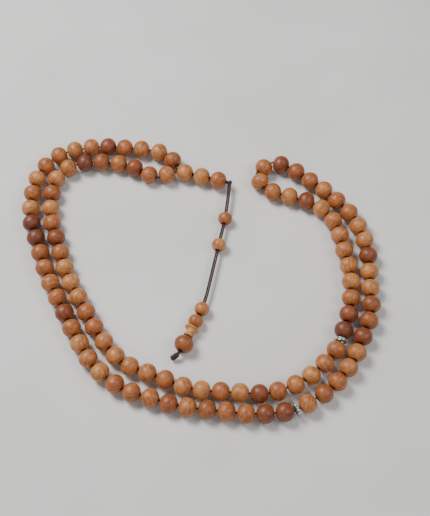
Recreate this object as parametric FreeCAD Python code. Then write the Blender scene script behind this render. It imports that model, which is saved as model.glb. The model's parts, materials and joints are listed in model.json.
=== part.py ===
"""A prayer strand of 99 wooden beads on one cord, laid flat, in millimetres.

The cord starts at the top knot, runs through the three neck beads, goes once round the long narrow loop of
99 beads, comes back through the neck beads beside itself and ends in the same knot. Below the knot both
strands carry the tail: two counter beads, two end beads, a turned stem, a large ball and the end knot.

+X runs along the loop, +Z is up, and the origin is on the table under the middle of the strand.
"""

import FreeCAD
import Part
import math
import os

Vector = FreeCAD.Vector
UP = Vector(0, 0, 1)

# Driving dimensions
BEAD_DIAMETER = 8.0
BEAD_LENGTH = 7.0  # along the bore
SMALL_BEAD_DIAMETER = 6.2
SMALL_BEAD_LENGTH = 5.5
BORE_DIAMETER = 2.0
BORE_EASING = 0.3  # width of the eased edge at each bore mouth
CORD_DIAMETER = 0.75
STRAND_SPACING = 0.8  # between the two cords where they run side by side

RING_DIAMETER = 5.8  # over the grains of a divider ring
RING_THICKNESS = 1.3
RING_BORE = 2.4
RING_GRAINS = 14

KNOT_DIAMETER = 2.7
KNOT_DEPTH = 0.65  # how far the cords run into each knot
END_KNOT_DIAMETER = 2.4
END_KNOT_WRAPS = 4
END_KNOT_GROOVE = 0.25  # depth between two wraps

STEM_LENGTH = 4.5
STEM_RIM_DIAMETER = 6.2
STEM_RIM_THICKNESS = 1.0
STEM_RIM_ROUNDING = 0.4
STEM_WAIST_DIAMETER = 3.0
STEM_WAIST_HEIGHT = 2.6  # below the rim's upper face
STEM_COLLAR_DIAMETER = 3.4
STEM_FOOT_DIAMETER = 4.3
STEM_FOOT_THICKNESS = 0.9
STEM_FOOT_ROUNDING = 0.2

TAIL_GAP = 0.15  # above the stem and below the top knot
BALL_GAP = 0.4  # between the stem and the ball
END_BEAD_GAP = 0.7  # between the two end beads
END_KNOT_LEAD = 0.6  # of cord between the ball and the turn to the end knot
PARTING_DISTANCE = 0.4  # outside the neck beads, where the two cords part
HINGE_GAP = 0.35  # half of the open stretch where the tail cords bend

CORD_CLEARANCE = 0.15  # between the cord and the bore where it turns between two beads

# How far the cord may stray from the middle of a bore there
BORE_ROOM = (BORE_DIAMETER - CORD_DIAMETER) / 2 - CORD_CLEARANCE
ARC_SHARE = 0.45  # of the shorter run, taken by each arc of a cord
TIGHTEST = 1.0  # smallest arc of a cord, in cord diameters

bead_height = BEAD_DIAMETER / 2
small_height = SMALL_BEAD_DIAMETER / 2

# The route of the loop, seen from above. Each row is a point where the strand turns and the number of beads
# on the straight run from there to the next point. A divider ring sits between the rows.
NECK = [
    (-9.5, 51.0, 3),
    (13.0, 45.0, 0),
]
FIRST_ROW = [
    (-9.5, 53.5, 1),
    (-13.5, 60.0, 1),
    (-22.0, 62.5, 3),
    (-45.0, 64.5, 2),
    (-60.0, 61.5, 1),
    (-66.5, 57.0, 1),
    (-71.0, 50.5, 1),
    (-73.5, 43.0, 2),
    (-74.0, 27.5, 4),
    (-64.0, -2.0, 4),
    (-50.0, -30.0, 2),
    (-42.0, -43.5, 2),
    (-29.5, -53.5, 3),
    (-7.0, -60.5, 4),
    (24.0, -64.0, 2),
    (39.5, -62.5, 0),
]
SECOND_ROW = [
    (41.5, -61.5, 2),
    (55.0, -53.0, 2),
    (64.5, -41.0, 3),
    (73.5, -19.5, 4),
    (74.0, 11.5, 2),
    (69.5, 26.0, 2),
    (59.5, 38.5, 3),
    (41.5, 53.0, 1),
    (34.0, 56.0, 1),
    (26.0, 49.5, 1),
    (30.0, 41.0, 3),
    (52.0, 34.0, 1),
    (58.0, 28.5, 1),
    (61.5, 21.5, 3),
    (66.0, -1.0, 2),
    (65.0, -16.5, 2),
    (60.0, -31.0, 0),
]
THIRD_ROW = [
    (59.5, -33.0, 1),
    (55.5, -39.5, 2),
    (44.0, -50.0, 2),
    (29.5, -55.5, 4),
    (-1.5, -53.5, 4),
    (-30.5, -42.0, 2),
    (-40.5, -29.5, 4),
    (-55.5, -2.0, 4),
    (-65.0, 27.5, 2),
    (-65.0, 43.0, 1),
    (-62.0, 50.5, 1),
    (-55.0, 54.5, 1),
    (-47.5, 56.0, 2),
    (-32.0, 54.5, 2),
    (-18.5, 47.0, 1),
    (-9.5, 51.0, 0),
]

# The tail turns and bends at these places, then runs in one line to the ball.
TAIL_TURN = Vector(13.0, 30.0, small_height)
TAIL_BEND = Vector(3.5, -14.5, small_height)
END_HEADING = math.radians(246)  # of the end pieces, seen from above
COUNTER_DISTANCES = (3.5, 17.0)  # of the counter beads from the turn
END_KNOT_START = Vector(-7.5, -37.9, 3.4)
END_KNOT_END = Vector(-10.3, -39.4, 1.5)

parts = {}


def unit(vector):
    """The direction of a vector."""
    return Vector(vector).normalize()


def left_of(direction):
    """The level direction to the left of a direction of travel."""
    return unit(UP.cross(direction))


def placed(shape, middle, axis):
    """A shape made about +Z at the origin, moved to a middle and turned so that +Z lies along an axis."""
    moved = shape.copy()
    moved.Placement = FreeCAD.Placement(middle, FreeCAD.Rotation(UP, axis))
    return moved


def lathed(edges):
    """The solid that an outline of edges in the XZ plane makes when it turns about Z."""
    face = Part.Face(Part.Wire(edges))
    return face.revolve(Vector(0, 0, 0), UP, 360)


def line(*corners):
    """The straight edges between (radius, height) corners."""
    points = [Vector(radius, 0, height) for radius, height in corners]
    return [Part.LineSegment(a, b).toShape() for a, b in zip(points, points[1:])]


def arc(start, middle, end):
    """A circular edge through three (radius, height) points."""
    return Part.Arc(*[Vector(radius, 0, height) for radius, height in (start, middle, end)]).toShape()


def bead(diameter, length):
    """A turned bead: a bulging side, eased mouths and a straight bore."""
    half = length / 2
    bore = BORE_DIAMETER / 2
    mouth = bore + BORE_EASING
    outline = [arc((mouth, -half), (diameter / 2, 0), (mouth, half))]
    outline += line((mouth, half), (bore, half - BORE_EASING), (bore, BORE_EASING - half), (mouth, -half))
    return lathed(outline)


def rounded_route(points, radius_at):
    """The edges of straight runs joined by tangent arcs, and the arcs' radii."""
    edges = []
    radii = []
    start = points[0]
    for before, corner, after in zip(points, points[1:], points[2:]):
        back = before - corner
        ahead = after - corner
        half_turn = (math.pi - back.getAngle(ahead)) / 2
        radius = radius_at(half_turn, min(back.Length, ahead.Length))
        reach = radius * math.tan(half_turn)
        entry = corner + unit(back) * reach
        leave = corner + unit(ahead) * reach
        inward = unit(unit(back) + unit(ahead))
        apex = corner + inward * (radius / math.cos(half_turn) - radius)
        edges.append(Part.LineSegment(start, entry).toShape())
        edges.append(Part.Arc(entry, apex, leave).toShape())
        radii.append(radius)
        start = leave
    edges.append(Part.LineSegment(start, points[-1]).toShape())
    return edges, radii


def free_radius(half_turn, shorter_run):
    """As large an arc as the two runs allow."""
    return ARC_SHARE * shorter_run / math.tan(half_turn)


def bored_radius(half_turn, shorter_run):
    """As large an arc as the two runs and the bores on them allow."""
    by_bore = 2 * BORE_ROOM / math.tan(half_turn) ** 2
    return min(free_radius(half_turn, shorter_run), max(by_bore, TIGHTEST * CORD_DIAMETER))


def cord(name, points, radius_at):
    """A round cord along the points."""
    edges, radii = rounded_route(points, radius_at)
    route = Part.Wire(edges)
    start = Part.Circle(points[0], unit(points[1] - points[0]), CORD_DIAMETER / 2).toShape()
    tube = Part.Wire([start])
    solid = route.makePipeShell([tube], True, False)
    expected = math.pi * CORD_DIAMETER**2 / 4 * route.Length
    print(f"{name}: {route.Length:.1f} mm, volume {solid.Volume / expected:.4f} of section x length,")
    print("  radii", ", ".join(f"{radius:.1f}" for radius in radii))
    return solid


def level(row, height):
    """A row's points as vectors at one height."""
    return [Vector(x, y, height) for x, y, _ in row]


def group_name(first, last, row_name):
    """A node's name: row and the numbers of the beads in it."""
    if first == last:
        return f"{row_name}_bead_{first:02d}"
    return f"{row_name}_beads_{first:02d}_{last:02d}"


def bead_groups(row, row_name):
    """The beads on each straight run of a row, as one group: (name, middle of the first bead, axis, beads)."""
    corners = level(row, bead_height)
    groups = []
    number = 1
    for (_, _, count), start, end in zip(row, corners, corners[1:]):
        axis = unit(end - start)
        middles = [start + (end - start) * ((n + 0.5) / count) for n in range(count)]
        beads = [placed(bead(BEAD_DIAMETER, BEAD_LENGTH), middle, axis) for middle in middles]
        groups.append((group_name(number, number + count - 1, row_name), middles[0], axis, beads))
        number += count
    return groups


def divider_ring():
    """A flat metal ring with a row of round grains about its rim."""
    half_pitch = math.pi / RING_GRAINS
    outside = RING_DIAMETER / 2 / (1 + half_pitch)
    grain = outside * half_pitch
    inside = RING_BORE / 2
    half = RING_THICKNESS / 2
    ring = lathed(line((inside, -half), (outside, -half), (outside, half), (inside, half), (inside, -half)))
    for n in range(RING_GRAINS):
        turn = 2 * math.pi * n / RING_GRAINS
        place = Vector(outside * math.cos(turn), outside * math.sin(turn), 0)
        ring = ring.fuse(Part.makeSphere(grain, place))
    return ring


def turned_stem():
    """The vase-shaped piece above the ball: a flared rim, a waist and a foot, about a bore."""
    bore = BORE_DIAMETER / 2
    rim = STEM_RIM_DIAMETER / 2
    waist = STEM_WAIST_DIAMETER / 2
    foot = STEM_FOOT_DIAMETER / 2
    rim_edge = STEM_RIM_THICKNESS / 2
    rim_base = STEM_RIM_THICKNESS
    foot_top = STEM_LENGTH - STEM_FOOT_THICKNESS
    foot_middle = foot_top + STEM_FOOT_THICKNESS / 2
    collar = STEM_COLLAR_DIAMETER / 2
    rim_flat = rim - STEM_RIM_ROUNDING
    foot_flat = foot - STEM_FOOT_ROUNDING
    outline = line((bore, 0), (rim_flat, 0))
    outline.append(arc((rim_flat, 0), (rim, rim_edge), (rim_flat, rim_base)))
    outline.append(arc((rim_flat, rim_base), (waist, STEM_WAIST_HEIGHT), (collar, foot_top)))
    outline += line((collar, foot_top), (foot_flat, foot_top))
    outline.append(arc((foot_flat, foot_top), (foot, foot_middle), (foot_flat, STEM_LENGTH)))
    outline += line((foot_flat, STEM_LENGTH), (bore, STEM_LENGTH), (bore, 0))
    return lathed(outline)


def wrapped_knot(length):
    """A barrel knot: wraps of cord side by side, closed at both ends."""
    pitch = length / END_KNOT_WRAPS
    crest = END_KNOT_DIAMETER / 2
    valley = crest - END_KNOT_GROOVE
    outline = line((0, 0), (valley, 0))
    for n in range(END_KNOT_WRAPS):
        low = n * pitch
        outline.append(arc((valley, low), (crest, low + pitch / 2), (valley, low + pitch)))
    outline += line((valley, length), (0, length), (0, 0))
    return lathed(outline)


def side_by_side(name, points):
    """The two tail cords along a route, one on each side of it."""
    before = points[:1] + points[:-1]
    after = points[1:] + points[-1:]
    beside = [left_of(ahead - back) * (STRAND_SPACING / 2) for back, ahead in zip(before, after)]
    left = [point + offset for point, offset in zip(points, beside)]
    right = [point - offset for point, offset in zip(points, beside)]
    return Part.makeCompound([cord(f"{name} left", left, bored_radius), cord(f"{name} right", right, bored_radius)])


# The loop: beads, divider rings and neck beads
rows = (("first_row", FIRST_ROW), ("second_row", SECOND_ROW), ("third_row", THIRD_ROW), ("neck", NECK))
axes = {}
for row_name, row in rows:
    for name, middle, axis, beads in bead_groups(row, row_name):
        parts[name] = beads[0] if len(beads) == 1 else Part.makeCompound(beads)
        axes[name] = (middle, axis)

for number, (before, after) in enumerate(((FIRST_ROW, SECOND_ROW), (SECOND_ROW, THIRD_ROW)), 1):
    start = level(before, bead_height)[-1]
    end = level(after, bead_height)[0]
    parts[f"divider_ring_{number}"] = placed(divider_ring(), (start + end) * 0.5, unit(end - start))
    axes[f"divider_ring_{number}"] = ((start + end) * 0.5, unit(end - start))

# The loop's cord, whole: out on the left side of the neck, round, and back on the right side
neck_start, neck_end = level(NECK, bead_height)
down_neck = unit(neck_end - neck_start)
side = left_of(down_neck) * (STRAND_SPACING / 2)
parting = neck_start - down_neck * PARTING_DISTANCE
cord_end = neck_end + down_neck * KNOT_DEPTH
round_the_loop = level(FIRST_ROW, bead_height) + level(SECOND_ROW, bead_height) + level(THIRD_ROW, bead_height)
loop_route = [cord_end + side, parting + side] + round_the_loop[:-1] + [parting - side, cord_end - side]
parts["loop_cord"] = cord("loop_cord", loop_route, bored_radius)

# The tail
top_knot_centre = neck_end + down_neck * (KNOT_DIAMETER / 2)
parts["top_knot"] = Part.makeSphere(KNOT_DIAMETER / 2, top_knot_centre)

from_knot = unit(TAIL_TURN - top_knot_centre)
down_tail = unit(TAIL_BEND - TAIL_TURN)
upper_start = top_knot_centre + from_knot * (KNOT_DIAMETER / 2 + TAIL_GAP)
parts["tail_cord_upper"] = side_by_side(
    "tail_cord_upper", [upper_start, TAIL_TURN, TAIL_BEND - down_tail * HINGE_GAP]
)
for name, distance in zip(("counter_bead_upper", "counter_bead_lower"), COUNTER_DISTANCES):
    middle = TAIL_TURN + down_tail * distance
    parts[name] = placed(bead(SMALL_BEAD_DIAMETER, SMALL_BEAD_LENGTH), middle, down_tail)
    axes[name] = (middle, down_tail)

to_end = Vector(math.cos(END_HEADING), math.sin(END_HEADING), 0)
step = SMALL_BEAD_LENGTH + END_BEAD_GAP
small_middle = step / 2
for name, distance in (("end_bead_upper", small_middle), ("end_bead_lower", small_middle + step)):
    middle = TAIL_BEND + to_end * distance
    parts[name] = placed(bead(SMALL_BEAD_DIAMETER, SMALL_BEAD_LENGTH), middle, to_end)
    axes[name] = (middle, to_end)

# From the last small bead the cords rise to the middle of the ball, which is larger
rise_start = TAIL_BEND + to_end * (2 * step)
rise = bead_height - small_height
slant = TAIL_GAP + STEM_LENGTH + BALL_GAP + BEAD_LENGTH / 2
ball_middle = rise_start + to_end * math.sqrt(slant**2 - rise**2) + UP * rise
to_ball = unit(ball_middle - rise_start)
parts["turned_stem"] = placed(turned_stem(), rise_start + to_ball * TAIL_GAP, to_ball)
axes["turned_stem"] = (rise_start, to_ball)
parts["end_ball"] = placed(bead(BEAD_DIAMETER, BEAD_LENGTH), ball_middle, to_ball)
axes["end_ball"] = (ball_middle, to_ball)

ball_mouth = ball_middle + to_ball * (BEAD_LENGTH / 2 + END_KNOT_LEAD)
knot_axis = unit(END_KNOT_END - END_KNOT_START)
parts["tail_cord_lower"] = side_by_side(
    "tail_cord_lower", [TAIL_BEND + to_end * HINGE_GAP, rise_start, ball_mouth, END_KNOT_START + knot_axis * KNOT_DEPTH]
)
parts["end_knot"] = placed(wrapped_knot((END_KNOT_END - END_KNOT_START).Length), END_KNOT_START, knot_axis)

os.makedirs("parts", exist_ok=True)
for name, shape in parts.items():
    shape.exportStep(f"parts/{name}.step")
print(len(parts), "nodes,", sum(len(shape.Solids) for shape in parts.values()), "solids")
for name, (middle, axis) in axes.items():
    print(f"{name} turns about ({axis.x:.3f}, {axis.y:.3f}, {axis.z:.3f})")
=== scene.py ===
import json
import math
import random

import bpy
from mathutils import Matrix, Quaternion, Vector


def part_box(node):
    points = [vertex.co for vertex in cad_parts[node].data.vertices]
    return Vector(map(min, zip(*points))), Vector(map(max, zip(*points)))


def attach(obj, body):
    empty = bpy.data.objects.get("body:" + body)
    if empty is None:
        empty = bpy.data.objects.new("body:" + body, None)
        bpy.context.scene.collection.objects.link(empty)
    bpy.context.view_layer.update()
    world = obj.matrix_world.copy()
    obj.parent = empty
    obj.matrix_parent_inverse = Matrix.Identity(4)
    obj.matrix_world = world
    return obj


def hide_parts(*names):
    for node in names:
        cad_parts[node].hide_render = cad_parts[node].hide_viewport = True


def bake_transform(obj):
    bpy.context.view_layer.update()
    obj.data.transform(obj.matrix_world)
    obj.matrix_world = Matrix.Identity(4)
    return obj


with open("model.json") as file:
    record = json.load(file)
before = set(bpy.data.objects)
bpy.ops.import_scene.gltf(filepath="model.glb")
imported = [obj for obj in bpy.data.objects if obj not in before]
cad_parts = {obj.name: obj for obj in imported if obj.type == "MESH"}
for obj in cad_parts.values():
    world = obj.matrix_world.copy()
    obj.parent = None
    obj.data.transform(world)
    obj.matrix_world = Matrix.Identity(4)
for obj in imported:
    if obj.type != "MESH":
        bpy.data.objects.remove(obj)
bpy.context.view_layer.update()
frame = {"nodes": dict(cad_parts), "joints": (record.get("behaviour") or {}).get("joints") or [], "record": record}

random.seed(99)
MM = 0.001

# Sizes of the turned pieces, as in the CAD model
BEAD_RADIUS = 4.0 * MM
BEAD_LENGTH = 7.0 * MM
SMALL_RADIUS = 3.1 * MM
SMALL_LENGTH = 5.5 * MM
BORE_RADIUS = 1.0 * MM
MOUTH_RADIUS = 1.3 * MM
CORD_DIAMETER = 0.75 * MM
STRAND_SPACING = 0.8 * MM
TURNS = 40  # points round a bead
SIDE_STEPS = 18  # steps along a bead's side
MOUTH_SHARES = (0.35, 0.75)  # how far across the eased edge its points lie
MOST_RIPPLE = 0.03 * MM  # left in a bead's side by the turning
RIPPLE_RATE = 5  # radians of ripple for each radian of the side

# The tail's route, in metres: where its two strands turn, bend and rise to the ball, with a
# point on the long straight run near each of its ends
KNOT_END = Vector((0.01434, 0.04465, 0.0040))
TAIL_TURN = Vector((0.0130, 0.0300, 0.0031))
AFTER_TURN = Vector((0.0099, 0.0156, 0.0031))
BEFORE_BEND = Vector((0.0061, -0.0024, 0.0031))
TAIL_BEND = Vector((0.0035, -0.0145, 0.0031))
RISE_START = Vector((-0.0015, -0.0258, 0.0031))
BALL_MOUTH = Vector((-0.0067, -0.0374, 0.0040))
IN_END_KNOT = Vector((-0.0080, -0.0382, 0.0031))
TAIL_ROUTE = [KNOT_END, TAIL_TURN, AFTER_TURN, BEFORE_BEND, TAIL_BEND, RISE_START, BALL_MOUTH, IN_END_KNOT]
STRAND_STEPS = 12  # points round a strand
LINE_STEPS = 24  # along a strand, for each point of its route

joints = {joint["child"]: joint for joint in frame["joints"]}
bodies = frame["record"]["behaviour"]["bodies"]
body_of_node = {name: body for body, names in bodies.items() for name in names}


# Camera, floor and light
camera_data = bpy.data.cameras.new("camera")
camera_data.lens = 68.1
camera = bpy.data.objects.new("camera", camera_data)
bpy.context.scene.collection.objects.link(camera)
LOOK_AT = Vector((0.0078, 0.00645, 0.0040))
CAMERA_DISTANCE = 0.4207
CAMERA_ELEVATION = math.radians(62.1)
to_camera = Vector((0, -math.cos(CAMERA_ELEVATION), math.sin(CAMERA_ELEVATION)))
camera.location = LOOK_AT + CAMERA_DISTANCE * to_camera
camera.rotation_euler = (math.pi / 2 - CAMERA_ELEVATION, 0, 0)
camera_data.clip_start = 0.01
bpy.context.scene.camera = camera


def new_material(name):
    """An empty node material and the shader at its end."""
    material = bpy.data.materials.new(name)
    material.use_nodes = True
    return material, material.node_tree, material.node_tree.nodes["Principled BSDF"]


def node(tree, kind, **inputs):
    """A node with some of its inputs set by name; an underscore stands for a space."""
    made = tree.nodes.new(kind)
    for name, value in inputs.items():
        made.inputs[name.replace("_", " ")].default_value = value
    return made


def ramp(tree, factor, stops):
    """A colour ramp of (position, (red, green, blue)) stops, fed by a socket."""
    made = tree.nodes.new("ShaderNodeValToRGB")
    elements = made.color_ramp.elements
    while len(elements) < len(stops):
        elements.new(0.5)
    for element, (place, colour) in zip(elements, stops):
        element.position = place
        element.color = (*colour, 1)
    tree.links.new(factor, made.inputs["Fac"])
    return made.outputs["Color"]


def bumped(tree, shader, height, strength, distance):
    """Bump from a height socket."""
    bump = node(tree, "ShaderNodeBump", Strength=strength, Distance=distance)
    tree.links.new(height, bump.inputs["Height"])
    tree.links.new(bump.outputs["Normal"], shader.inputs["Normal"])


floor_material, floor_tree, floor_shader = new_material("floor")
floor_noise = node(floor_tree, "ShaderNodeTexNoise", Scale=60.0, Detail=4.0)
floor_colours = [(0.3, (0.66, 0.65, 0.63)), (0.7, (0.72, 0.71, 0.69))]
floor_colour = ramp(floor_tree, floor_noise.outputs["Fac"], floor_colours)
floor_tree.links.new(floor_colour, floor_shader.inputs["Base Color"])
floor_shader.inputs["Roughness"].default_value = 0.85
bpy.ops.mesh.primitive_plane_add(size=3.0, location=(0, 0, 0))
floor = bpy.context.object
floor.name = "floor"
floor.data.materials.append(floor_material)


def soft_light(name, place, size, power):
    """A large area light that faces the strand."""
    data = bpy.data.lights.new(name, "AREA")
    data.size = size
    data.energy = power
    light = bpy.data.objects.new(name, data)
    light.location = place
    light.rotation_euler = (LOOK_AT - Vector(place)).to_track_quat("-Z", "Y").to_euler()
    bpy.context.scene.collection.objects.link(light)


soft_light("key", (-0.35, 0.25, 0.60), 0.30, 6.6)
soft_light("fill", (0.45, -0.10, 0.55), 0.35, 1.8)
soft_light("front", (0.0, -0.55, 0.50), 0.50, 1.0)
world = bpy.data.worlds.new("studio")
world.use_nodes = True
world.node_tree.nodes["Background"].inputs["Color"].default_value = (0.9, 0.93, 1.0, 1)
world.node_tree.nodes["Background"].inputs["Strength"].default_value = 0.16
bpy.context.scene.world = world


# Materials
RING_SHARE = 0.20  # how far the growth rings and the pores shift the wood's tone
PORE_SHARE = 0.38
FIGURE_SHIFT = (0.002, 0.003, 0.004)  # metres that the grain moves for each radian it is turned


def wood(name, dark, light, ring_scale, spin):
    """Turned, waxed wood: growth rings cut by the bead's shape, fine pores and a soft sheen."""
    material, tree, shader = new_material(name)
    place = tree.nodes.new("ShaderNodeTexCoord")
    turn = tree.nodes.new("ShaderNodeMapping")
    turn.inputs["Rotation"].default_value = spin
    turn.inputs["Location"].default_value = tuple(reach * angle for reach, angle in zip(FIGURE_SHIFT, spin))
    tree.links.new(place.outputs["Object"], turn.inputs["Vector"])
    rings = node(tree, "ShaderNodeTexWave", Scale=ring_scale, Distortion=6.0, Detail=4.0, Detail_Scale=2.0)
    rings.wave_type = "RINGS"
    tree.links.new(turn.outputs["Vector"], rings.inputs["Vector"])
    stretch = tree.nodes.new("ShaderNodeMapping")
    stretch.inputs["Scale"].default_value = (1.0, 1.0, 0.08)
    tree.links.new(turn.outputs["Vector"], stretch.inputs["Vector"])
    pores = node(tree, "ShaderNodeTexNoise", Scale=5200.0, Detail=5.0, Roughness=0.7)
    tree.links.new(stretch.outputs["Vector"], pores.inputs["Vector"])
    patches = node(tree, "ShaderNodeTexNoise", Scale=330.0, Detail=3.0)
    tree.links.new(turn.outputs["Vector"], patches.inputs["Vector"])
    mixed = tree.nodes.new("ShaderNodeMath")
    mixed.operation = "MULTIPLY_ADD"
    mixed.inputs[1].default_value = RING_SHARE
    tree.links.new(rings.outputs["Fac"], mixed.inputs[0])
    tree.links.new(patches.outputs["Fac"], mixed.inputs[2])
    grain = tree.nodes.new("ShaderNodeMath")
    grain.operation = "MULTIPLY_ADD"
    grain.inputs[1].default_value = PORE_SHARE
    tree.links.new(pores.outputs["Fac"], grain.inputs[0])
    tree.links.new(mixed.outputs["Value"], grain.inputs[2])
    middle = tuple((a + b) / 2 for a, b in zip(dark, light))
    colours = [(0.52, dark), (0.74, middle), (0.96, light)]
    tree.links.new(ramp(tree, grain.outputs["Value"], colours), shader.inputs["Base Color"])
    gloss = tree.nodes.new("ShaderNodeMapRange")
    gloss.inputs["To Min"].default_value = 0.40
    gloss.inputs["To Max"].default_value = 0.58
    tree.links.new(pores.outputs["Fac"], gloss.inputs["Value"])
    tree.links.new(gloss.outputs["Result"], shader.inputs["Roughness"])
    shader.inputs["Coat Weight"].default_value = 0.12
    shader.inputs["Coat Roughness"].default_value = 0.30
    bumped(tree, shader, pores.outputs["Fac"], 0.25, 0.00006)
    return material


# Wood tones on the strand: dark and light of each, and how common it is
TONES = [
    ((0.290, 0.092, 0.022), (0.560, 0.225, 0.062), 4),
    ((0.225, 0.060, 0.013), (0.440, 0.140, 0.034), 5),
    ((0.180, 0.046, 0.010), (0.350, 0.102, 0.025), 3),
    ((0.140, 0.030, 0.008), (0.270, 0.065, 0.016), 2),
    ((0.250, 0.075, 0.017), (0.500, 0.180, 0.047), 5),
    ((0.095, 0.021, 0.007), (0.190, 0.046, 0.013), 1),
]
FIGURES = 3  # grain figures of each tone
RING_SCALES = (180, 330)
bead_woods = []
for number, (dark, light, share) in enumerate(TONES):
    for figure in range(FIGURES):
        spin = tuple(random.uniform(0, math.pi) for _ in range(3))
        ring_scale = random.uniform(*RING_SCALES)
        bead_woods += share * [wood(f"bead_wood_{number}_{figure}", dark, light, ring_scale, spin)]
stem_wood = wood("stem_wood", (0.380, 0.140, 0.034), (0.620, 0.290, 0.090), 170.0, (1.5, 0.1, 0.3))


def twisted_thread(name, dark, light):
    """Waxed brown thread with a fine twist."""
    material, tree, shader = new_material(name)
    place = tree.nodes.new("ShaderNodeTexCoord")
    fibres = node(tree, "ShaderNodeTexWave", Scale=1900.0, Distortion=2.0, Detail=2.0)
    fibres.bands_direction = "DIAGONAL"
    tree.links.new(place.outputs["Object"], fibres.inputs["Vector"])
    fuzz = node(tree, "ShaderNodeTexNoise", Scale=4000.0, Detail=4.0)
    tree.links.new(place.outputs["Object"], fuzz.inputs["Vector"])
    tree.links.new(ramp(tree, fuzz.outputs["Fac"], [(0.3, dark), (0.7, light)]), shader.inputs["Base Color"])
    shader.inputs["Roughness"].default_value = 0.7
    shader.inputs["Sheen Weight"].default_value = 0.08
    bumped(tree, shader, fibres.outputs["Fac"], 0.5, 0.00006)
    return material


thread = twisted_thread("brown_thread", (0.020, 0.0055, 0.0045), (0.062, 0.020, 0.016))


def aged_silver():
    """Silver, bright where it is rubbed and dark in the hollows and stains."""
    material, tree, shader = new_material("aged_silver")
    place = tree.nodes.new("ShaderNodeTexCoord")
    stains = node(tree, "ShaderNodeTexNoise", Scale=900.0, Detail=5.0)
    tree.links.new(place.outputs["Object"], stains.inputs["Vector"])
    colours = [(0.35, (0.16, 0.15, 0.14)), (0.55, (0.66, 0.65, 0.63))]
    tree.links.new(ramp(tree, stains.outputs["Fac"], colours), shader.inputs["Base Color"])
    shader.inputs["Metallic"].default_value = 1.0
    shader.inputs["Roughness"].default_value = 0.3
    bumped(tree, shader, stains.outputs["Fac"], 0.3, 0.00008)
    return material


silver = aged_silver()


# Turned pieces
def lathed_mesh(name, outline, steps):
    """A smooth mesh turned about +Z from a closed (radius, height) outline."""
    vertices = []
    for radius, height in outline:
        for n in range(steps):
            turn = 2 * math.pi * n / steps
            vertices.append((radius * math.cos(turn), radius * math.sin(turn), height))
    faces = []
    rows = len(outline)
    for row in range(rows):
        after = (row + 1) % rows
        for n in range(steps):
            m = (n + 1) % steps
            faces.append((row * steps + n, row * steps + m, after * steps + m, after * steps + n))
    mesh = bpy.data.meshes.new(name)
    mesh.from_pydata(vertices, [], faces)
    mesh.shade_smooth()
    mesh.update()
    return mesh


def bead_outline(radius, length, unevenness):
    """The section of a bead: a bulging side, eased mouths and a straight bore."""
    half = length / 2
    reach = radius - MOUTH_RADIUS
    bulge = (reach**2 + half**2) / (2 * reach)
    middle = radius - bulge
    end_angle = math.atan2(half, MOUTH_RADIUS - middle)
    outline = []
    for n in range(SIDE_STEPS + 1):
        angle = end_angle * (2 * n / SIDE_STEPS - 1)
        ripple = unevenness * math.sin(RIPPLE_RATE * angle) * math.cos(angle) ** 2
        outline.append((middle + (bulge - ripple) * math.cos(angle), (bulge - ripple) * math.sin(angle)))
    easing = MOUTH_RADIUS - BORE_RADIUS
    for share in MOUTH_SHARES:
        outline.append((MOUTH_RADIUS - easing * share, half - easing * share**2))
    outline.append((BORE_RADIUS, half - easing))
    outline.append((BORE_RADIUS, easing - half))
    for share in reversed(MOUTH_SHARES):
        outline.append((MOUTH_RADIUS - easing * share, easing * share**2 - half))
    return outline


def separate_pieces(node_name):
    """The middles of a CAD node's separate solids, in metres, by joining faces that share corners."""
    mesh = frame["nodes"][node_name].data
    places = {}
    group = []
    for vertex in mesh.vertices:
        key = tuple(round(c, 7) for c in vertex.co)
        group.append(places.setdefault(key, len(places)))
    leader = list(range(len(places)))

    def lead(n):
        while leader[n] != n:
            leader[n] = leader[leader[n]]
            n = leader[n]
        return n

    for polygon in mesh.polygons:
        first = lead(group[polygon.vertices[0]])
        for corner in polygon.vertices[1:]:
            leader[lead(group[corner])] = first
    corners = {}
    for place, n in places.items():
        corners.setdefault(lead(n), []).append(Vector(place))
    middles = []
    for members in corners.values():
        low = Vector(min(c[i] for c in members) for i in range(3))
        high = Vector(max(c[i] for c in members) for i in range(3))
        middles.append((low + high) / 2)
    return middles


def turned_piece(name, mesh, middle, axis, body, node_name, material):
    """One turned piece in place on its body, in the place of its CAD node."""
    mesh.materials.append(material)
    piece = bpy.data.objects.new(name, mesh)
    bpy.context.scene.collection.objects.link(piece)
    piece.location = middle
    piece.rotation_mode = "QUATERNION"
    piece.rotation_quaternion = axis.to_track_quat("Z", "Y")
    piece.rotation_quaternion.rotate(Quaternion(axis, random.uniform(0, 2 * math.pi)))
    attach(piece, body)
    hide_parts(node_name)


small_nodes = ("counter_bead_upper", "counter_bead_lower", "end_bead_upper", "end_bead_lower")
bead_nodes = [name for name in frame["nodes"] if "bead" in name] + ["end_ball"]
for node_name in sorted(bead_nodes):
    body = body_of_node[node_name]
    axis = Vector(joints[body]["axis"])
    small = node_name in small_nodes
    radius, length = (SMALL_RADIUS, SMALL_LENGTH) if small else (BEAD_RADIUS, BEAD_LENGTH)
    for number, middle in enumerate(separate_pieces(node_name), 1):
        outline = bead_outline(radius, length, random.uniform(0, MOST_RIPPLE))
        mesh = lathed_mesh(f"{node_name}_{number}", outline, TURNS)
        material = random.choice(bead_woods)
        turned_piece(f"{node_name}_turned_{number}", mesh, middle, axis, body, node_name, material)


def dress(node_name, material):
    """Gives a CAD node that stays a better material."""
    piece = frame["nodes"][node_name]
    piece.data.materials.clear()
    piece.data.materials.append(material)


dress("turned_stem", stem_wood)
dress("divider_ring_1", silver)
dress("divider_ring_2", silver)


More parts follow.
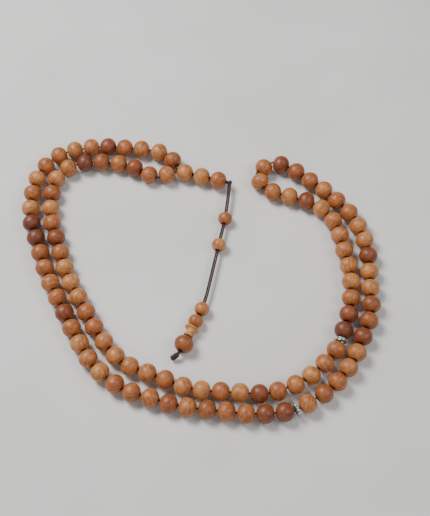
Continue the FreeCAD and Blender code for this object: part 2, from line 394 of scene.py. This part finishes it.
# The knots, wound from the same thread
END_KNOT_START = Vector((-0.0075, -0.0379, 0.0034))
END_KNOT_END = Vector((-0.0103, -0.0394, 0.0015))
END_KNOT_WRAPS = 4
WRAP_RADIUS = 0.82 * MM  # of the thread's middle
TREFOIL_SCALE = 0.30 * MM
TREFOIL_HEIGHT = 1.6  # of the top knot's crossings, in trefoil units
STEPS_PER_WRAP = 24
BEVEL_STEPS = 3


def curve_through(name, kind, points):
    """A curve of one spline of that kind, with these points."""
    data = bpy.data.curves.new(name, "CURVE")
    data.dimensions = "3D"
    spline = data.splines.new(kind)
    spline.points.add(len(points) - 1)
    for point, place in zip(spline.points, points):
        point.co = (*place, 1)
    return data, spline


def wound_thread(name, points, closed, node_name, body):
    """Thread along worked-out points, in the place of a knot's CAD node."""
    data, spline = curve_through(name, "POLY", points)
    data.bevel_depth = CORD_DIAMETER / 2
    data.bevel_resolution = BEVEL_STEPS
    data.use_fill_caps = True
    spline.use_cyclic_u = closed
    data.materials.append(thread)
    piece = bpy.data.objects.new(name, data)
    bpy.context.scene.collection.objects.link(piece)
    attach(piece, body)
    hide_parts(node_name)
    return piece


top_low, top_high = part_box("top_knot")
top_middle = (top_low + top_high) / 2
trefoil = []
trefoil_steps = 3 * STEPS_PER_WRAP
for n in range(trefoil_steps):
    t = 2 * math.pi * n / trefoil_steps
    x = math.sin(t) + 2 * math.sin(2 * t)
    y = math.cos(t) - 2 * math.cos(2 * t)
    z = -TREFOIL_HEIGHT * math.sin(3 * t)
    trefoil.append(top_middle + TREFOIL_SCALE * Vector((x, y, z)))
wound_thread("top_knot_thread", trefoil, True, "top_knot", "strand")

knot_axis = (END_KNOT_END - END_KNOT_START).normalized()
knot_across = knot_axis.orthogonal().normalized()
knot_up = knot_axis.cross(knot_across)
knot_length = (END_KNOT_END - END_KNOT_START).length
wraps = []
wrap_steps = END_KNOT_WRAPS * STEPS_PER_WRAP
for n in range(wrap_steps + 1):
    t = 2 * math.pi * n / STEPS_PER_WRAP
    along = CORD_DIAMETER / 2 + (knot_length - CORD_DIAMETER) * n / wrap_steps
    radial = knot_across * math.cos(t) + knot_up * math.sin(t)
    wraps.append(END_KNOT_START + knot_axis * along + radial * WRAP_RADIUS)
end_knot = wound_thread("end_knot_wraps", wraps, False, "end_knot", "tail_lower")
end_core = wound_thread("end_knot_core", [END_KNOT_START, END_KNOT_END], False, "end_knot", "tail_lower")


# The cord: the CAD node in the loop, where beads hold it all the way, and two free strands in the tail
dress("loop_cord", thread)


def left_of(direction):
    """The level direction to the left of a direction of travel."""
    return Vector((0, 0, 1)).cross(direction).normalized()


def beside(points, distance):
    """The same route, moved to the left by a distance."""
    before = points[:1] + points[:-1]
    after = points[1:] + points[-1:]
    return [point + left_of(b - a) * distance for point, a, b in zip(points, before, after)]


def smooth_line(name, points):
    """Points along the smooth spline that has these control points."""
    data, spline = curve_through(name, "NURBS", points)
    data.resolution_u = LINE_STEPS
    spline.order_u = 3
    spline.use_endpoint_u = True
    guide = bpy.data.objects.new(name, data)
    line = [vertex.co.copy() for vertex in bpy.data.meshes.new_from_object(guide).vertices]
    bpy.data.objects.remove(guide)
    return line


def strand_mesh(name, line):
    """A round tube along a line, closed at both ends."""
    vertices = []
    for before, place, after in zip(line[:1] + line[:-1], line, line[1:] + line[-1:]):
        across = left_of(after - before)
        up = (after - before).cross(across).normalized()
        for n in range(STRAND_STEPS):
            turn = 2 * math.pi * n / STRAND_STEPS
            vertices.append(place + (across * math.cos(turn) + up * math.sin(turn)) * (CORD_DIAMETER / 2))
    faces = [tuple(reversed(range(STRAND_STEPS)))]
    for row in range(len(line) - 1):
        for n in range(STRAND_STEPS):
            m = (n + 1) % STRAND_STEPS
            low = row * STRAND_STEPS
            high = low + STRAND_STEPS
            faces.append((low + n, low + m, high + m, high + n))
    last = (len(line) - 1) * STRAND_STEPS
    faces.append(tuple(range(last, last + STRAND_STEPS)))
    mesh = bpy.data.meshes.new(name)
    mesh.from_pydata(vertices, [], faces)
    mesh.shade_smooth()
    mesh.materials.append(thread)
    return mesh


for name, distance in (("tail_strand_left", STRAND_SPACING / 2), ("tail_strand_right", -STRAND_SPACING / 2)):
    line = smooth_line(name, beside(TAIL_ROUTE, distance))
    strand = bpy.data.objects.new(name, strand_mesh(name, line))
    bpy.context.scene.collection.objects.link(strand)
    length = sum((b - a).length for a, b in zip(line, line[1:]))
    print(f"{name}: {length / MM:.1f} mm")
    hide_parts("tail_cord_upper", "tail_cord_lower")
    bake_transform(strand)
